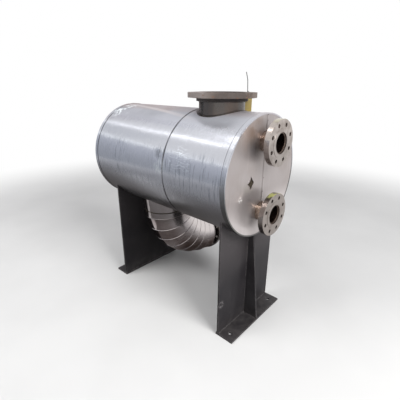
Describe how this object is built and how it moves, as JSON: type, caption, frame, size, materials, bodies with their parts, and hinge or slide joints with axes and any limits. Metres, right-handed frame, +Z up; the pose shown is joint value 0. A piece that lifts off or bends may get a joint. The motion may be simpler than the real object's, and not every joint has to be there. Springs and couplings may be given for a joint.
{
  "type": "insulated shell and tube heat exchanger on saddles",
  "caption": "Horizontal shell and tube heat exchanger in a clad jacket, with flanged nozzles on top and front, a gored outlet bend and two plate saddles.",
  "frame": {"origin": "centre of the four anchor holes, at the underside of the saddles' base plates, on the floor", "axes": "+X along the shell towards the end with the two small nozzles, +Y towards the outlet flange, +Z up towards the top flange"},
  "size_m": [1.2995, 0.7973, 1.5676],
  "materials": {
    "jacket_sheet": "brushed cladding sheet with dents and scuffs",
    "end_plate": "warm satin sheet",
    "bend_sheet": "bright smooth cladding sheet with beads",
    "flange_steel": "machined steel, tarnished",
    "weathered_steel": "weathered flange face",
    "dark_steel": "dark primer",
    "vessel_steel": "rusty mill surface",
    "saddle_paint": "dull grey paint with scuffs",
    "insulation": "mineral wool",
    "nylon": "black nylon",
    "tag_plastic": "yellow plastic"
  },
  "bodies": {
    "root": {"jacket_front": "jacket_sheet", "jacket_rear": "jacket_sheet", "jacket_strap": "jacket_sheet", "front_rim": "jacket_sheet", "rear_rim": "jacket_sheet", "front_cap_left": "end_plate", "front_cap_right": "end_plate", "rear_cap": "end_plate", "insulation_blanket": "insulation", "front_insulation": "insulation", "shell_barrel": "vessel_steel", "channel_cover": "vessel_steel", "pass_partition": "vessel_steel", "tubesheets": "vessel_steel", "tube_bundle": "vessel_steel", "baffles": "vessel_steel", "rear_head": "vessel_steel", "top_nozzle_neck": "dark_steel", "top_flange": "weathered_steel", "top_collar": "dark_steel", "upper_nozzle_neck": "flange_steel", "upper_flange": "flange_steel", "lower_nozzle_neck": "flange_steel", "lower_flange": "flange_steel", "outlet_neck": "dark_steel", "outlet_elbow": "dark_steel", "outlet_pipe": "dark_steel", "outlet_flange": "dark_steel", "outlet_insulation": "insulation", "outlet_collar": "bend_sheet", "elbow_gore_1": "bend_sheet", "elbow_gore_2": "bend_sheet", "elbow_gore_3": "bend_sheet", "elbow_gore_4": "bend_sheet", "elbow_gore_5": "bend_sheet", "elbow_gore_6": "bend_sheet", "elbow_gore_7": "bend_sheet", "elbow_gore_8": "bend_sheet", "elbow_end_cap": "bend_sheet", "front_saddle_web": "saddle_paint", "rear_saddle_web": "saddle_paint", "saddle_ribs": "saddle_paint", "base_plates": "saddle_paint", "cable_tie": "nylon", "tag": "tag_plastic"}
  },
  "joints": []
}
